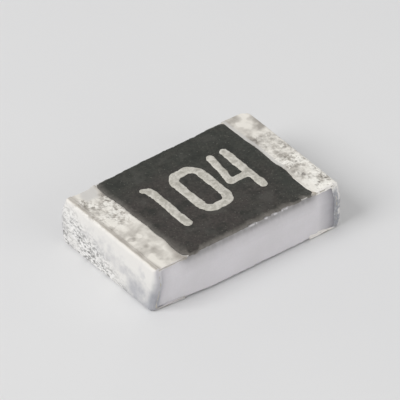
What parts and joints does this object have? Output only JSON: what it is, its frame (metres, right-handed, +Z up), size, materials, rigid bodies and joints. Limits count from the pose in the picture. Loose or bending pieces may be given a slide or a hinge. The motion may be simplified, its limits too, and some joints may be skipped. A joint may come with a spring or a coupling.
{
  "type": "chip resistor",
  "caption": "Thick-film surface-mount chip resistor: white ceramic body, dark overcoat with a printed value, tin-plated wrap-round terminals.",
  "frame": {"origin": "middle of the chip's underside, level with the two solder pads", "axes": "+X from terminal to terminal in the reading direction of the digits, +Y towards the top of the digits, +Z up away from the board"},
  "size_m": [0.002, 0.0012, 0.0005],
  "materials": {
    "alumina": "matte fired white alumina, slightly translucent",
    "overcoat_resin": "matte warm black coat with fine specks",
    "marking_ink": "matte off-white printed ink, slightly mottled",
    "matte_tin": "matte electroplated tin, grainy",
    "nickel": "satin nickel, buried",
    "silver_paste": "fired silver paste, buried",
    "edge_paste": "silver edge film, buried",
    "resistive_paste": "fired ruthenium oxide film, buried",
    "glass_glaze": "glass undercoat, buried"
  },
  "bodies": {
    "root": {"ceramic_substrate": "alumina", "resistive_film": "resistive_paste", "glass_undercoat": "glass_glaze", "overcoat": "overcoat_resin", "digit_1": "marking_ink", "digit_0": "marking_ink", "digit_4": "marking_ink", "top_electrode_left": "silver_paste", "bottom_electrode_left": "silver_paste", "edge_electrode_left": "edge_paste", "nickel_barrier_left": "nickel", "tin_plating_left": "matte_tin", "top_electrode_right": "silver_paste", "bottom_electrode_right": "silver_paste", "edge_electrode_right": "edge_paste", "nickel_barrier_right": "nickel", "tin_plating_right": "matte_tin"}
  },
  "joints": []
}
